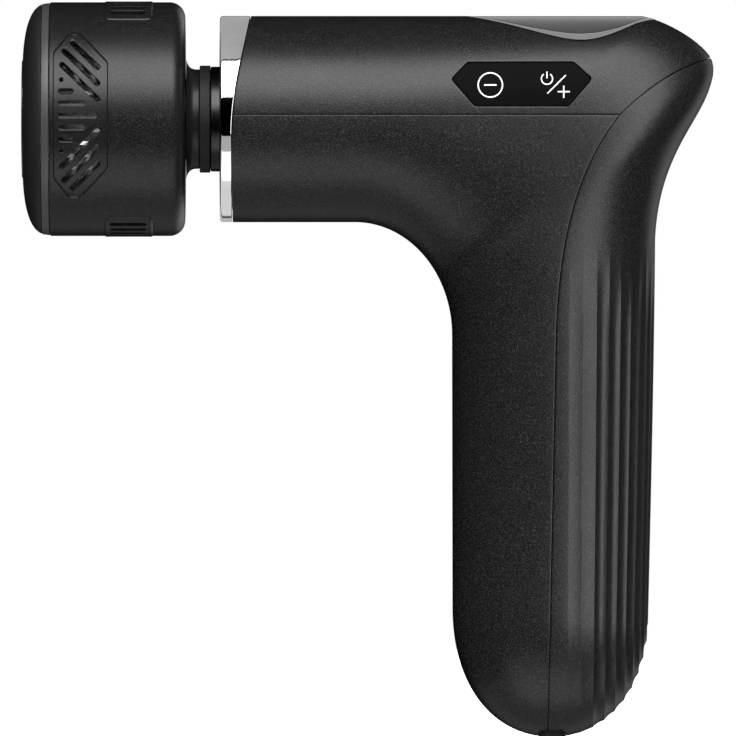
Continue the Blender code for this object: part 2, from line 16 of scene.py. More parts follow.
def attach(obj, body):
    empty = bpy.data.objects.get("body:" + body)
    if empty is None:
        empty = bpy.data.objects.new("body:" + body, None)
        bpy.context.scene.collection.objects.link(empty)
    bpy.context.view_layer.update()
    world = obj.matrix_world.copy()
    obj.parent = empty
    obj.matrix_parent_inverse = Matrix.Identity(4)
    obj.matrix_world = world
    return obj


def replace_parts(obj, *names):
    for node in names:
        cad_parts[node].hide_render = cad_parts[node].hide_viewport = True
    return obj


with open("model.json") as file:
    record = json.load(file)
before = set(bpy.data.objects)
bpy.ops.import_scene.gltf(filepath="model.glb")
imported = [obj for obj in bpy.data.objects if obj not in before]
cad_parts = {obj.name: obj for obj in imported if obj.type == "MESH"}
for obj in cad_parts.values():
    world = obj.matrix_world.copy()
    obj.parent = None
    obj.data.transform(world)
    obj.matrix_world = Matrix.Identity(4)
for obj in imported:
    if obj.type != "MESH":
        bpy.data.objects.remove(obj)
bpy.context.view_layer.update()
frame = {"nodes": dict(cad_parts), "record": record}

MM = 0.001
BARREL_Z = 80.0
BARREL_R = 23.2
GRIP_HALF_WIDTH = 19.6
NOSE_X = -73.0
BEND_X = -44.3
BEND_Z = -48.6
BEND_RX = 21.8
BEND_RZ = 25.4
BEND_STEPS = 120
HANDLE_BOTTOM = -139.0
SEAM_Z = 0.8
GAP = 0.09  # half of the dark line between two shells
HEAD_R = 26.3
HEAD_FRONT = -119.3
HEAD_REAR = -82.5
DRUM_FRONT = -112.6
VENT_Z = 0.6
FLUTE_PITCH = 2.955
FLUTE_DEPTH = 0.45
SHALLOW_DEPTH = 0.12
PORT_RIM = HANDLE_BOTTOM


# Curves and outlines


def bezier(a, b, c, d, count=10):
    """The points of a cubic curve from a to d, with b and c as its handles."""
    t = np.linspace(0, 1, count)[:, None]
    points = np.array([a, b, c, d], float)
    weights = np.hstack([(1 - t) ** 3, 3 * t * (1 - t) ** 2, 3 * t**2 * (1 - t), t**3])
    return weights @ points


def arc(centre, radius, start, end, count):
    angles = np.radians(np.linspace(start, end, count))
    return np.array(centre) + radius * np.column_stack([np.cos(angles), np.sin(angles)])


def rounded(x0, x1, y0, y1, radius, count=8):
    """A rectangle with round corners."""
    corners = [(x1, y1, 0), (x0, y1, 90), (x0, y0, 180), (x1, y0, 270)]
    middle = np.array([(x0 + x1) / 2, (y0 + y1) / 2])
    loops = []
    for x, y, start in corners:
        corner = np.array([x, y])
        loops.append(arc(corner - radius * np.sign(corner - middle), radius, start, start + 90, count))
    return np.vstack(loops)


def softened(corners, radius, count=5):
    """A closed outline with its corners rounded."""
    corners = np.asarray(corners, float)
    loops = []
    for before, here, after in zip(np.roll(corners, 1, 0), corners, np.roll(corners, -1, 0)):
        to_before = (before - here) / np.linalg.norm(before - here)
        to_after = (after - here) / np.linalg.norm(after - here)
        reach = radius / math.tan(math.acos(np.clip(to_before @ to_after, -1, 1)) / 2)
        start, end = here + to_before * reach, here + to_after * reach
        loops.append(bezier(start, here + (start - here) * 0.4, here + (end - here) * 0.4, end, count))
    return np.vstack(loops)


def smooth(values):
    clipped = np.clip(values, 0, 1)
    return clipped * clipped * (3 - 2 * clipped)


def rear_outline():
    """The side view's upper and rear edge, from the bend round the rear corner to the handle's lower end."""
    return np.vstack(
        [
            [(BEND_X, BARREL_R)],
            bezier((20.5, BARREL_R), (25, 22.2), (32, 18.6), (35.2, 14.6), 30),
            bezier((35.2, 14.6), (36.6, 12.8), (36.7, 10.4), (35.6, 7.4), 24)[1:],
            bezier((35.6, 7.4), (33.6, -0.3), (24, -8), (23.2, -27.2), 48)[1:],
            bezier((23.2, -27.2), (23.1, -50), (22.3, -85), (21.6, -113.6), 24)[1:],
        ]
    )


REAR = rear_outline()


def grip_seam():
    """The side view's line between the front shell and the rear grip, from the bottom up to the rear."""
    return np.vstack(
        [
            [(-1.1, -142)],
            bezier((0.7, -54), (0.9, -30), (4.5, -12), (15.4, 1.1), 36),
            bezier((15.4, 1.1), (21, 6.5), (29, 12.6), (39, 14.6), 24)[1:],
        ]
    )


def collar_seam():
    """The side view's line behind the chrome collar, from its bottom to its top."""
    return np.vstack([[(-71.9, -26)], bezier((-71.9, -4), (-71.9, 6), (-69.2, 15), (-67.4, 25.5), 24)])


def window_outline(inset):
    """The display window seen from above: a leaf, blunt at its rear."""
    front, widest, rear = -20.3 + inset, 16.3 - inset, 23.6 - inset
    near = bezier((front, 0), (front, 5), (-4, widest), (6.5, widest), 32)
    far = bezier((6.5, widest), (15, widest), (rear, 8.5), (rear, 0), 28)[1:]
    half = np.vstack([near, far])
    return np.vstack([half, half[-2:0:-1] * (1, -1)])


def key_outline():
    """The key plate seen from the side: a flat hexagon with slightly soft corners."""
    corners = [(-22.7, 8.8), (-17.5, 2.7), (3.6, 2.7), (8.8, 8.8), (4.7, 12.6), (-19.1, 12.6)]
    return softened(corners, 0.7)


def vent_outline():
    """The shallow panel round the head's side vent."""
    half = [(-99.6, 12.0), (-106.0, 18.7), (-108.3, 18.7), (-112.0, 14.2)]
    return softened(half + [(x, -z) for x, z in reversed(half)], 1.6) + (0, VENT_Z)


def vent_slots():
    """The side vent's slots, as ((x, z), (x, z)) ends: level ones between two sets of slanting ones."""
    slots = []
    for step in range(-2, 3):
        z = VENT_Z + 2.72 * step
        slots.append(((-110.15, z), (-102.65 - 2.67 * abs(step), z)))
    for number, length in enumerate((7.9, 7.5, 5.6)):
        for side in (-1, 1):
            low = 3.6 + 3.7 * number
            slots.append(((-102, VENT_Z + side * low), (-102 - length, VENT_Z + side * (low + length))))
    return slots


# Distances that say which side of an edge a point is on


def to_segments(points, starts, ends):
    """Each point's nearest place on a polyline: distance, the segment's number and the side it is on."""
    along = ends - starts
    length2 = np.maximum((along**2).sum(1), 1e-12)
    offset = points[:, None, :] - starts[None]
    share = np.clip((offset * along[None]).sum(2) / length2, 0, 1)
    nearest = offset - share[..., None] * along[None]
    distance = np.hypot(nearest[..., 0], nearest[..., 1])
    best = distance.argmin(1)
    rows = np.arange(len(points))
    turn = along[best, 0] * offset[rows, best, 1] - along[best, 1] * offset[rows, best, 0]
    return distance[rows, best], turn


def left_of(points, line):
    """Distance to a line, positive on its left."""
    distance, turn = to_segments(points, line[:-1], line[1:])
    return np.where(turn >= 0, distance, -distance)


def within(points, outline):
    """Distance to a closed outline, positive inside."""
    starts, ends = outline, np.roll(outline, -1, 0)
    distance, _ = to_segments(points, starts, ends)
    x, y = points[:, 0][:, None], points[:, 1][:, None]
    crosses = (starts[:, 1] > y) != (ends[:, 1] > y)
    rise = np.where(ends[:, 1] == starts[:, 1], 1, ends[:, 1] - starts[:, 1])
    at = starts[:, 0] + (y - starts[:, 1]) / rise * (ends[:, 0] - starts[:, 0])
    inside = (crosses & (x < at)).sum(1) % 2 == 1
    return np.where(inside, distance, -distance)


def slot_distance(points, start, end, radius):
    """Distance to a slot with round ends, positive inside."""
    distance, _ = to_segments(points, np.array([start], float), np.array([end], float))
    return radius - distance


# Mesh tools


def coordinates(bm):
    return np.array([v.co[:] for v in bm.verts])


def knife(bm, value, level):
    """Splits the mesh exactly along the line where value(points) is level."""
    bm.verts.ensure_lookup_table()
    bm.verts.index_update()
    points = coordinates(bm)
    heights = value(points) - level
    edges = [e for e in bm.edges if heights[e.verts[0].index] * heights[e.verts[1].index] < 0]
    if not edges:
        return
    first = np.array([e.verts[0].index for e in edges])
    second = np.array([e.verts[1].index for e in edges])
    a, b = points[first], points[second]
    low, high = np.zeros(len(edges)), np.ones(len(edges))
    value_low, value_high = heights[first], heights[second]
    share = value_low / (value_low - value_high)
    for _ in range(4):
        middle = value(a + share[:, None] * (b - a)) - level
        same = middle * value_low > 0
        low, value_low = np.where(same, share, low), np.where(same, middle, value_low)
        high, value_high = np.where(same, high, share), np.where(same, value_high, middle)
        span = value_low - value_high
        step = np.where(np.abs(span) > 1e-9, value_low / np.where(span == 0, 1, span), 0.5)
        share = low + np.clip(step, 0, 1) * (high - low)
    share = np.clip(share, 0.002, 0.998)
    start_verts = [e.verts[0] for e in edges]
    cuts = [bmesh.utils.edge_split(e, v, float(t))[1] for e, v, t in zip(edges, start_verts, share)]
    bmesh.ops.connect_verts(bm, verts=cuts)


def keep_where(bm, inside):
    """Removes the faces whose middle is outside. The cut lines already run along the border."""
    middles = np.array([f.calc_center_median()[:] for f in bm.faces])
    wanted = inside(middles)
    faces = [f for f, good in zip(list(bm.faces), wanted) if not good]
    bmesh.ops.delete(bm, geom=faces, context="FACES")


def grid(rows):
    """A surface through closed rows of points that all have the same count."""
    bm = bmesh.new()
    loops = [[bm.verts.new(p) for p in row] for row in rows]
    count = len(rows[0])
    for here, there in zip(loops, loops[1:]):
        for i in range(count):
            j = (i + 1) % count
            bm.faces.new([here[i], there[i], there[j], here[j]])
    return bm, loops


def lower_edges(distance, radius, drop):
    """How far a surface dips beside its edge, for a moulded, slightly round rim."""
    share = np.clip((distance - GAP) / radius, 0, 1)
    return drop * (1 - np.sqrt(np.clip(1 - (1 - share) ** 2, 0, 1)))


def turn_in(bm, normals, depth):
    """Gives every open edge a wall that runs inwards, so that a shell looks solid at its seams."""
    border = [e for e in bm.edges if e.is_boundary]
    rim = {v for e in border for v in e.verts}
    made = bmesh.ops.extrude_edge_only(bm, edges=border)["geom"]
    for v in made:
        if isinstance(v, bmesh.types.BMVert):
            other = next(o for o in (e.other_vert(v) for e in v.link_edges) if o in rim)
            v.co = other.co - normals[other] * depth


def make_object(name, bm, material, body, sharp=32):
    """An object in the frame's metres, riding on a body."""
    mesh = bpy.data.meshes.new(name)
    bm.to_mesh(mesh)
    bm.free()
    mesh.transform(Matrix.Translation((0, 0, BARREL_Z * MM)) @ Matrix.Scale(MM, 4))
    mesh.materials.append(MATERIALS[material])
    mesh.shade_smooth()
    mesh.set_sharp_from_angle(angle=math.radians(sharp))
    obj = bpy.data.objects.new(name, mesh)
    bpy.context.scene.collection.objects.link(obj)
    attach(obj, body)
    return obj


def turned(profile, steps=160):
    """A closed profile of (radius, distance along X) turned once round the barrel's axis."""
    rows = []
    for radius, along in profile:
        angles = np.arange(steps) * 2 * math.pi / steps
        x = np.full(steps, float(along))
        rows.append(np.column_stack([x, radius * np.cos(angles), radius * np.sin(angles)]))
    bm, loops = grid(rows)
    if profile[0][0] > 0 and profile[-1][0] > 0:
        for i in range(steps):
            j = (i + 1) % steps
            bm.faces.new([loops[-1][i], loops[0][i], loops[0][j], loops[-1][j]])
    bmesh.ops.remove_doubles(bm, verts=bm.verts, dist=1e-4)
    bmesh.ops.recalc_face_normals(bm, faces=bm.faces)
    return bm


def soft_profile(corners, radius=0.25, count=4):
    """A closed profile with every corner rounded, as (radius, along) points."""
    return [tuple(p) for p in softened(corners, radius, count)]


# Materials

MATERIALS = {}


def new_material(name, slot, colour, roughness, metallic=0.0, coat=0.0, specular=0.5):
    """A material with its plain values on the shader."""
    material = bpy.data.materials.new(name)
    material.use_nodes = True
    shader = material.node_tree.nodes["Principled BSDF"]
    shader.inputs["Base Color"].default_value = (*colour, 1)
    shader.inputs["Roughness"].default_value = roughness
    shader.inputs["Metallic"].default_value = metallic
    shader.inputs["Coat Weight"].default_value = coat
    shader.inputs["Coat Roughness"].default_value = 0.05
    shader.inputs["Specular IOR Level"].default_value = specular
    MATERIALS[name] = material
    return material, shader


def noise(material, scale, detail=2.0, stretch=(1, 1, 1)):
    """A noise in the object's own space; scale is in features per metre."""
    nodes, links = material.node_tree.nodes, material.node_tree.links
    place = nodes.new("ShaderNodeTexCoord")
    mapping = nodes.new("ShaderNodeMapping")
    mapping.inputs["Scale"].default_value = stretch
    texture = nodes.new("ShaderNodeTexNoise")
    texture.inputs["Scale"].default_value = scale
    texture.inputs["Detail"].default_value = detail
    links.new(place.outputs["Object"], mapping.inputs["Vector"])
    links.new(mapping.outputs["Vector"], texture.inputs["Vector"])
    return texture.outputs["Fac"]


def ramp(material, factor, stops):
    """A colour ramp of (position, colour) stops."""
    nodes, links = material.node_tree.nodes, material.node_tree.links
    node = nodes.new("ShaderNodeValToRGB")
    elements = node.color_ramp.elements
    while len(elements) < len(stops):
        elements.new(0.5)
    for element, (position, colour) in zip(elements, stops):
        element.position = position
        element.color = (*colour, 1)
    links.new(factor, node.inputs["Fac"])
    return node.outputs["Color"]


def between(material, factor, low, high):
    """A number that follows a factor of 0.3 to 0.7 from low to high."""
    nodes, links = material.node_tree.nodes, material.node_tree.links
    node = nodes.new("ShaderNodeMapRange")
    node.inputs["From Min"].default_value = 0.3
    node.inputs["From Max"].default_value = 0.7
    node.inputs["To Min"].default_value = low
    node.inputs["To Max"].default_value = high
    links.new(factor, node.inputs["Value"])
    return node.outputs["Result"]


def bump(material, shader, factor, strength, distance):
    nodes, links = material.node_tree.nodes, material.node_tree.links
    node = nodes.new("ShaderNodeBump")
    node.inputs["Strength"].default_value = strength
    node.inputs["Distance"].default_value = distance
    links.new(factor, node.inputs["Height"])
    links.new(node.outputs["Normal"], shader.inputs["Normal"])


def times(colour, share):
    return tuple(channel * share for channel in colour)


def moulded(name, slot, colour, roughness, grain=3400, speck=1.0, strength=0.3, height=0.00005, **values):
    """Moulded plastic or paint: fine grain in colour and height, faint broad unevenness in gloss."""
    material, shader = new_material(name, slot, colour, roughness, **values)
    links = material.node_tree.links
    fine = noise(material, grain, 3.0)
    stops = [(0.3, times(colour, 1 - 0.35 * speck)), (0.55, colour), (0.7, times(colour, 1 + 1.2 * speck))]
    links.new(ramp(material, fine, stops), shader.inputs["Base Color"])
    broad = noise(material, 60, 3.0)
    links.new(between(material, broad, roughness * 0.93, roughness * 1.08), shader.inputs["Roughness"])
    bump(material, shader, fine, strength, height)


def metal(name, slot, colour, roughness, along=(1, 14, 14), grain=900, strength=0.12, **values):
    """Machined or drawn metal: fine lines along one direction."""
    material, shader = new_material(name, slot, colour, roughness, metallic=1.0, **values)
    links = material.node_tree.links
    lines = noise(material, grain, 4.0, along)
    stops = [(0.3, times(colour, 0.85)), (0.7, tuple(min(1, c * 1.08) for c in colour))]
    links.new(ramp(material, lines, stops), shader.inputs["Base Color"])
    links.new(between(material, lines, roughness * 0.8, roughness * 1.25), shader.inputs["Roughness"])
    bump(material, shader, lines, strength, 0.00002)


def board_material():
    """Circuit board: solder mask with traces and tinned pads under it."""
    colour = (0.012, 0.09, 0.04)
    material, shader = new_material("board_mask", "board", colour, 0.35)
    links = material.node_tree.links
    nodes = material.node_tree.nodes
    place = nodes.new("ShaderNodeTexCoord")
    cells = nodes.new("ShaderNodeTexVoronoi")
    cells.distance = "MANHATTAN"
    cells.inputs["Scale"].default_value = 420
    links.new(place.outputs["Object"], cells.inputs["Vector"])
    stops = [(0.0, (0.6, 0.58, 0.5)), (0.16, (0.6, 0.58, 0.5)), (0.18, (0.01, 0.07, 0.03)), (0.6, colour)]
    links.new(ramp(material, cells.outputs["Distance"], stops), shader.inputs["Base Color"])
    bump(material, shader, cells.outputs["Distance"], 0.2, 0.00005)


def glass_material():
    """Smoked window: a clear coat over a dark, faintly uneven tint."""
    colour = (0.012, 0.012, 0.0124)
    material, shader = new_material("smoked_window", "smoked_glass", colour, 0.08, coat=1.0)
    links = material.node_tree.links
    broad = noise(material, 45, 2.0)
    stops = [(0.3, times(colour, 0.7)), (0.7, times(colour, 1.5))]
    links.new(ramp(material, broad, stops), shader.inputs["Base Color"])
    links.new(between(material, broad, 0.06, 0.1), shader.inputs["Roughness"])


def make_materials():
    grained = {"grain": 3900, "speck": 2.2, "strength": 0.8, "height": 0.000055}
    moulded("body_plastic", "satin_black", (0.009, 0.009, 0.0094), 0.33, **grained)
    moulded("cap_plastic", "matte_black", (0.012, 0.012, 0.012), 0.5, grain=2600, speck=0.5, specular=0.5)
    moulded("stem_plastic", "matte_black", (0.014, 0.014, 0.015), 0.38, grain=2600, speck=0.5, strength=0.15)
    moulded("gloss_plastic", "gloss_black", (0.006, 0.006, 0.007), 0.16, speck=0.3, strength=0.03, coat=0.6)
    dull = {"speck": 0.3, "strength": 0.02, "specular": 0.01}
    moulded("key_plastic", "gloss_black", (0.004, 0.004, 0.004), 0.24, **dull)
    moulded("print_white", "white_plastic", (0.82, 0.82, 0.82), 0.5, speck=0.1, strength=0.1)
    moulded("nylon_white", "white_plastic", (0.7, 0.7, 0.68), 0.45, speck=0.12, strength=0.1)
    moulded("soft_rubber", "rubber", (0.016, 0.016, 0.016), 0.6, grain=2200, speck=0.6, strength=0.4)
    moulded("cell_wrap", "cell_can", (0.05, 0.2, 0.4), 0.3, grain=300, speck=0.15, strength=0.05, coat=0.5)
    moulded("ceramic_white", "ceramic", (0.8, 0.8, 0.78), 0.6, grain=1800, speck=0.08, strength=0.2)
    metal("chrome_plate", "chrome", (0.86, 0.86, 0.87), 0.045, along=(1, 1, 1), grain=70, strength=0.01)
    moulded("trim_paint", "silver", (0.07, 0.07, 0.071), 0.4, speck=0.4, strength=0.2, metallic=0.4)
    metal("bezel_metal", "silver", (0.62, 0.62, 0.63), 0.16, along=(1, 8, 1), strength=0.03)
    metal("sleeve_metal", "dark_anodised", (0.065, 0.065, 0.066), 0.3, along=(10, 1, 1), strength=0.03)
    metal("machined_aluminium", "aluminium", (0.62, 0.62, 0.63), 0.3, along=(1, 10, 1))
    metal("machined_steel", "steel", (0.5, 0.5, 0.5), 0.25, along=(1, 1, 10))
    metal("sintered_bronze", "bronze", (0.5, 0.32, 0.14), 0.42, along=(1, 1, 1), grain=1600, strength=0.3)
    metal("copper_wire", "copper", (0.7, 0.28, 0.12), 0.3, along=(1, 1, 6), grain=700, strength=0.6)
    board_material()
    glass_material()


CARRIED = {
    "satin_black": "body_plastic",
    "matte_black": "cap_plastic",
    "gloss_black": "gloss_plastic",
    "chrome": "chrome_plate",
    "smoked_glass": "smoked_window",
    "silver": "bezel_metal",
    "rubber": "soft_rubber",
    "board": "board_mask",
    "aluminium": "machined_aluminium",
    "dark_anodised": "sleeve_metal",
    "steel": "machined_steel",
    "bronze": "sintered_bronze",
    "copper": "copper_wire",
    "cell_can": "cell_wrap",
    "ceramic": "ceramic_white",
    "white_plastic": "nylon_white",
}


def dress_frame():
    """Gives every carried-over node the detailed material of its slot."""
    slots = {part["node"]: part["material_slot"] for part in frame["record"]["subparts"]}
    for name, node in frame["nodes"].items():
        material = MATERIALS[CARRIED.get(slots[name], "machined_steel")]
        if not node.data.materials:
            node.data.materials.append(material)
        for index in range(len(node.data.materials)):
            node.data.materials[index] = material


# The housing


def section(inner, outer, half_width, power, steps):
    """A closed superellipse standing on the side view's line from inner to outer."""
    centre = (inner + outer) / 2
    reach = (outer - inner) / 2
    angles = np.arange(steps) * 2 * math.pi / steps
    c, s = np.cos(angles), np.sin(angles)
    u = np.sign(c) * np.abs(c) ** (2 / power)
    v = np.sign(s) * np.abs(s) ** (2 / power)
    places = centre + u[:, None] * reach
    return np.column_stack([places[:, 0], half_width * v, places[:, 1]])


def half_width_at(share):
    """The housing narrows from the barrel, at 0, through the bend, to the grip's lower half, at 1."""
    return BARREL_R + float(smooth(share)) * (GRIP_HALF_WIDTH - BARREL_R)


def housing(steps):
    """The housing's outer face, open at the nose and closed at the handle's lower end."""
    pivot = np.array([BEND_X, BEND_Z])
    angles = np.degrees(np.arctan2(REAR[:, 1] - BEND_Z, REAR[:, 0] - BEND_X))
    rows = []
    for x in np.linspace(NOSE_X, BEND_X, 15)[:-1]:
        rows.append(section(np.array([x, -BARREL_R]), np.array([x, BARREL_R]), BARREL_R, 2, steps))
    for share in np.linspace(0, 1, BEND_STEPS + 1):
        angle = 90 * (1 - share)
        c, s = math.cos(math.radians(angle)), math.sin(math.radians(angle))
        inner = pivot + np.array([c, s]) / math.hypot(c / BEND_RX, s / BEND_RZ)
        outer = np.array([np.interp(-angle, -angles, REAR[:, 0]), np.interp(-angle, -angles, REAR[:, 1])])
        power = 2 + 0.4 * math.sin(math.pi * share) ** 2 + 0.15 * float(smooth(share))
        rows.append(section(inner, outer, half_width_at(share / 2), power, steps))
    front_end, rear_end = np.array([-22.4, -110.5]), REAR[-1]
    for share in np.linspace(0, 1, 26)[1:]:
        inner = (1 - share) * np.array([BEND_X + BEND_RX, BEND_Z]) + share * front_end
        z = (1 - share) * BEND_Z + share * rear_end[1]
        outer = np.array([np.interp(-z, -REAR[:, 1], REAR[:, 0]), z])
        rows.append(section(inner, outer, half_width_at(0.5 + share / 2), 2.15, steps))
    pole = np.array([0, HANDLE_BOTTOM])
    front = bezier(front_end, (-22.2, -128), (-13, HANDLE_BOTTOM), pole, 37)
    back = bezier(rear_end, (21.2, -128.5), (12.5, HANDLE_BOTTOM), pole, 37)
    full = back[0, 0] - front[0, 0]
    for inner, outer in zip(front[1:-1], back[1:-1]):
        half_width = GRIP_HALF_WIDTH * (outer[0] - inner[0]) / full
        rows.append(section(inner, outer, half_width, 2.15, steps))
    bm, loops = grid(rows)
    tip = bm.verts.new((0, 0, HANDLE_BOTTOM))
    for i in range(steps):
        bm.faces.new([loops[-1][i], tip, loops[-1][(i + 1) % steps]])
    face = next(iter(bm.faces))
    face.normal_update()
    middle = face.calc_center_median()
    if face.normal.dot(Vector((0, middle.y, middle.z))) < 0:
        bmesh.ops.reverse_faces(bm, faces=list(bm.faces))
    return bm


def side(points):
    return points[:, [0, 2]]


SEAM = grip_seam()
COLLAR = collar_seam()
WINDOW = window_outline(0)
KEY = key_outline()
PORT = rounded(-3.1, 3.1, -6.4, 6.4, 2.17)
BEZEL_INNER = window_outline(1.5)


def over_level(points):
    return points[:, 2] - SEAM_Z


def under_level(points):
    return SEAM_Z - points[:, 2]


def before_grip(points):
    return left_of(side(points), SEAM)


def behind_grip(points):
    return -left_of(side(points), SEAM)


def beside_seam(points):
    """The rear grip's lip, which reaches under the other two shells and closes the seam."""
    return 1.2 - np.abs(behind_grip(points))


def behind_collar(points):
    return -left_of(side(points), COLLAR)


def outside_window(points):
    return np.where(points[:, 2] > 5, -within(points[:, :2], WINDOW), 30)


def inside_window(points):
    return np.where(points[:, 2] > 5, within(points[:, :2], WINDOW), -30)


def outside_bezel(points):
    return np.where(points[:, 2] > 5, -within(points[:, :2], BEZEL_INNER), 30)


def inside_bezel(points):
    return np.where(points[:, 2] > 5, within(points[:, :2], BEZEL_INNER), -30)


def outside_key(points):
    return np.where(points[:, 1] < -5, -within(side(points), KEY), 30)


def inside_key(points):
    return np.where(points[:, 1] < -5, within(side(points), KEY), -30)


def outside_port(points):
    return np.where(points[:, 2] < -120, -within(points[:, :2], PORT), 30)


def cut_out(bm, limits, radius=0.3, drop=0.1, depth=1.7, relief=None):
    """Cuts one shell out of the housing: its rims are dipped and rounded, and turned in."""
    points = coordinates(bm)
    worst = np.min([limit(points) for limit in limits], axis=0)
    far = {v for v, value in zip(bm.verts, worst) if value < -4}
    bmesh.ops.delete(bm, geom=[f for f in bm.faces if all(v in far for v in f.verts)], context="FACES")
    for limit in limits:
        for level in (GAP, GAP + 0.16 * radius, GAP + 0.45 * radius, GAP + radius):
            knife(bm, limit, level)
    bm.normal_update()
    normals = {v: v.normal.copy() for v in bm.verts}
    keep_where(bm, lambda middles: np.min([limit(middles) for limit in limits], axis=0) > GAP)
    bm.verts.ensure_lookup_table()
    verts = list(bm.verts)
    points = coordinates(bm)
    dip = np.max([lower_edges(limit(points), radius, drop) for limit in limits], axis=0)
    if relief is not None:
        dip = dip + relief(points)
    for v, amount in zip(verts, dip):
        v.co -= normals[v] * float(amount)
    turn_in(bm, normals, depth)


def grip_ring(points):
    """Distance round the handle from its rear middle, on lines that run straight down the side view."""
    z = points[:, 2]
    rear = np.interp(-z, -REAR[:, 1], REAR[:, 0])
    rear = np.where(z < REAR[-1, 1], REAR[-1, 0] - 1.4 / 73 * (REAR[-1, 1] - z), rear)
    return 21 * np.arccos(np.clip(points[:, 0] / rear, -1, 1))


def flutes(points):
    """Concave flutes between sharp ridges, fading out towards the bend; the two at each seam are shallow."""
    ring = grip_ring(points) / FLUTE_PITCH
    t = ring - np.floor(ring) - 0.5
    depth = np.where(ring < 8, FLUTE_DEPTH, SHALLOW_DEPTH) * (1 - 4 * t * t)
    fade = smooth((-26 - points[:, 2]) / 24) * (0.65 + 0.35 * smooth((points[:, 2] + 135) / 18))
    return np.where(ring < 10, depth * fade, 0)


def make_shells():
    base = housing(288)

    bm = base.copy()
    cut_out(bm, [over_level, before_grip, behind_collar, outside_window, outside_key])
    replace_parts(make_object("top_cover_skin", bm, "body_plastic", "housing"), "top_cover")

    bm = base.copy()
    cut_out(bm, [under_level, before_grip, behind_collar, outside_port])
    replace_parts(make_object("front_shell_skin", bm, "body_plastic", "housing"), "front_shell")

    bm = housing(400)
    points = coordinates(bm)
    value = behind_grip(points)
    far = {v for v, amount in zip(bm.verts, value) if amount < -2}
    bmesh.ops.delete(bm, geom=[f for f in bm.faces if all(v in far for v in f.verts)], context="FACES")
    for number in range(11):
        knife(bm, grip_ring, max(0.01, number * FLUTE_PITCH))
    cut_out(bm, [behind_grip, outside_port], relief=flutes)
    lip = base.copy()
    cut_out(lip, [beside_seam, outside_port], radius=0.1, drop=0, depth=0.7, relief=lambda points: 1.0)
    mesh = bpy.data.meshes.new("lip")
    lip.to_mesh(mesh)
    lip.free()
    bm.from_mesh(mesh)
    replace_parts(make_object("rear_grip_skin", bm, "body_plastic", "housing", sharp=22), "rear_grip")

    bm = base.copy()
    cut_out(bm, [inside_window, outside_bezel], radius=0.3, drop=-0.1, depth=1.0)
    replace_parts(make_object("display_frame", bm, "bezel_metal", "housing"), "display_bezel")

    bm = base.copy()
    cut_out(bm, [inside_bezel], radius=0.5, drop=0.15, depth=1.0, relief=lambda points: 0.05)
    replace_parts(make_object("display_window", bm, "smoked_window", "housing"), "display_lens")

    bm = base.copy()
    cut_out(bm, [inside_key], radius=0.3, drop=0.14, depth=1.2)
    surface = BVHTree.FromBMesh(bm)
    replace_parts(make_object("key_face", bm, "key_plastic", "key"), "key_plate")
    base.free()
    make_symbols(surface)


def on_plate(surface, x, z, lift):
    """The point of the key plate at a place of the side view, lifted outwards."""
    place, normal, _, _ = surface.ray_cast(Vector((x, -40, z)), Vector((0, 1, 0)))
    return place + normal * lift


def ribbon(bm, surface, left, right):
    """A raised printed band between two lines of the side view."""
    top = [[bm.verts.new(on_plate(surface, *p, 0.05)) for p in line] for line in (left, right)]
    low = [[bm.verts.new(on_plate(surface, *p, -0.05)) for p in line] for line in (left, right)]
    count = len(left)
    for i in range(count - 1):
        bm.faces.new([top[0][i], top[1][i], top[1][i + 1], top[0][i + 1]])
        bm.faces.new([low[0][i], low[0][i + 1], low[1][i + 1], low[1][i]])
        bm.faces.new([top[0][i], top[0][i + 1], low[0][i + 1], low[0][i]])
        bm.faces.new([top[1][i + 1], top[1][i], low[1][i], low[1][i + 1]])
    for i in (0, count - 1):
        bm.faces.new([top[0][i], top[1][i], low[1][i], low[0][i]])


def stroke(bm, surface, start, end, width):
    start, end = np.array(start, float), np.array(end, float)
    line = start + (end - start) * np.linspace(0, 1, 9)[:, None]
    along = (end - start) / np.linalg.norm(end - start)
    across = np.array([-along[1], along[0]]) * width / 2
    ribbon(bm, surface, line + across, line - across)


def bow(bm, surface, centre, radius, start, end, width):
    count = max(12, int(abs(end - start) / 6))
    inner = arc(centre, radius - width / 2, start, end, count)
    outer = arc(centre, radius + width / 2, start, end, count)
    ribbon(bm, surface, inner, outer)


def make_symbols(surface):
    """Printed marks: minus in a ring, the power mark, a slash and a plus."""
    bm = bmesh.new()
    bow(bm, surface, (-14.0, 7.4), 2.72, 0, 360, 0.29)
    stroke(bm, surface, (-15.4, 7.4), (-12.6, 7.4), 0.31)
    bow(bm, surface, (-1.3, 8.8), 1.25, 125, 415, 0.25)
    stroke(bm, surface, (-1.3, 8.9), (-1.3, 10.4), 0.25)
    stroke(bm, surface, (-1.2, 5.5), (2.9, 9.6), 0.27)
    stroke(bm, surface, (1.1, 5.9), (3.8, 5.9), 0.29)
    stroke(bm, surface, (2.45, 4.5), (2.45, 7.25), 0.29)
    bmesh.ops.recalc_face_normals(bm, faces=bm.faces)
    make_object("key_symbols", bm, "print_white", "key")


# The nose and the plunger


